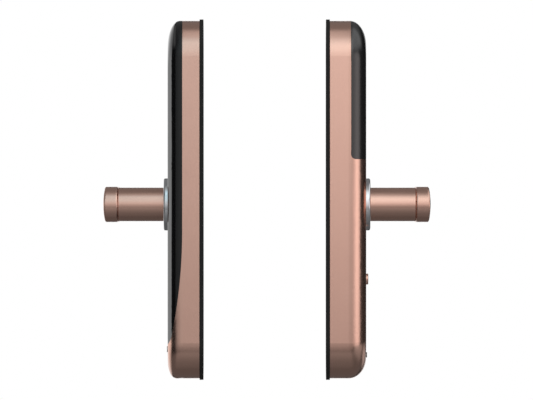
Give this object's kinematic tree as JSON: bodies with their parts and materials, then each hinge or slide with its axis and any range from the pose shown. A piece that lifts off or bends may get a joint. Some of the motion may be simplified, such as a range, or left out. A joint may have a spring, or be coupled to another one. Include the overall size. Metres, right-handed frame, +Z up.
{
  "type": "keypad smart lock",
  "caption": "Pair of door units for an electronic lock: a gloss keypad face with a lever outside, and a lever, battery cover and privacy button inside.",
  "frame": {"origin": "where the handle axis meets the door face of the exterior unit", "axes": "+X from the exterior unit through the door to the interior unit, +Z up, lever arms along +Y"},
  "size_m": [0.2744, 0.1637, 0.3024],
  "materials": {
    "rose_gold": "satin rose-gold plating",
    "black_plastic": "satin black",
    "gloss_black": "polished black",
    "chrome": "polished",
    "steel": "zinc plated",
    "brass": "turned",
    "rubber": "moulded",
    "board": "green solder mask",
    "diffuser": "white translucent",
    "cell": "printed sleeve"
  },
  "bodies": {
    "exterior_unit": {"outer_housing": "rose_gold", "panel_frame": "black_plastic", "touch_panel": "gloss_black", "light_guide": "black_plastic", "key_lenses": "diffuser", "keypad_board": "board", "outer_board": "board", "outer_board_screws": "steel", "speaker": "black_plastic", "contact_insert": "black_plastic", "power_contacts": "steel", "outer_gasket": "rubber", "outer_back_plate": "steel", "bolt_posts": "steel", "outer_screws": "steel", "outer_cable_grommet": "rubber", "outer_bush": "brass", "outer_rosette": "chrome", "outer_return_spring": "steel"},
    "exterior_lever": {"outer_neck": "rose_gold", "outer_arm": "rose_gold", "outer_set_screw": "steel", "outer_spindle_socket": "steel", "outer_return_plate": "steel", "outer_retaining_ring": "steel"},
    "interior_unit": {"inner_housing": "rose_gold", "mounting_plate": "steel", "inner_gasket": "rubber", "inner_cable_grommet": "rubber", "battery_tray": "black_plastic", "batteries": "cell", "battery_contacts": "steel", "inner_board": "board", "inner_board_screws": "steel", "inner_screws": "steel", "lower_screw": "rose_gold", "privacy_switch": "black_plastic", "privacy_spring": "steel", "inner_bush": "brass", "inner_rosette": "chrome", "inner_return_spring": "steel"},
    "interior_lever": {"inner_neck": "rose_gold", "inner_arm": "rose_gold", "inner_set_screw": "steel", "inner_spindle_socket": "steel", "inner_return_plate": "steel", "inner_retaining_ring": "steel"},
    "battery_cover": {"battery_cover": "black_plastic"},
    "privacy_button": {"privacy_button": "rose_gold"}
  },
  "joints": [
    {"name": "exterior_lever_turn", "type": "hinge", "parent": "exterior_unit", "child": "exterior_lever", "pos_m": [0, 0, 0], "axis": [-1, 0, 0], "range_deg": [0, 55], "stiffness_Nm_per_rad": 1.2, "springref_deg": -20.05},
    {"name": "interior_lever_turn", "type": "hinge", "parent": "interior_unit", "child": "interior_lever", "pos_m": [0.103, 0, 0], "axis": [-1, 0, 0], "range_deg": [0, 55], "stiffness_Nm_per_rad": 1.2, "springref_deg": -20.05},
    {"name": "door_thickness", "type": "slide", "parent": "exterior_unit", "child": "interior_unit", "axis": [1, 0, 0], "range_m": [-0.063, 0.007]},
    {"name": "battery_cover_slide", "type": "slide", "parent": "interior_unit", "child": "battery_cover", "axis": [0, 0, 1], "range_m": [0, 0.118]},
    {"name": "privacy_button_press", "type": "slide", "parent": "interior_unit", "child": "privacy_button", "axis": [-1, 0, 0], "range_m": [0, 0.0015], "stiffness_N_per_m": 400, "springref_m": -0.002, "deforming": ["privacy_spring"]}
  ]
}
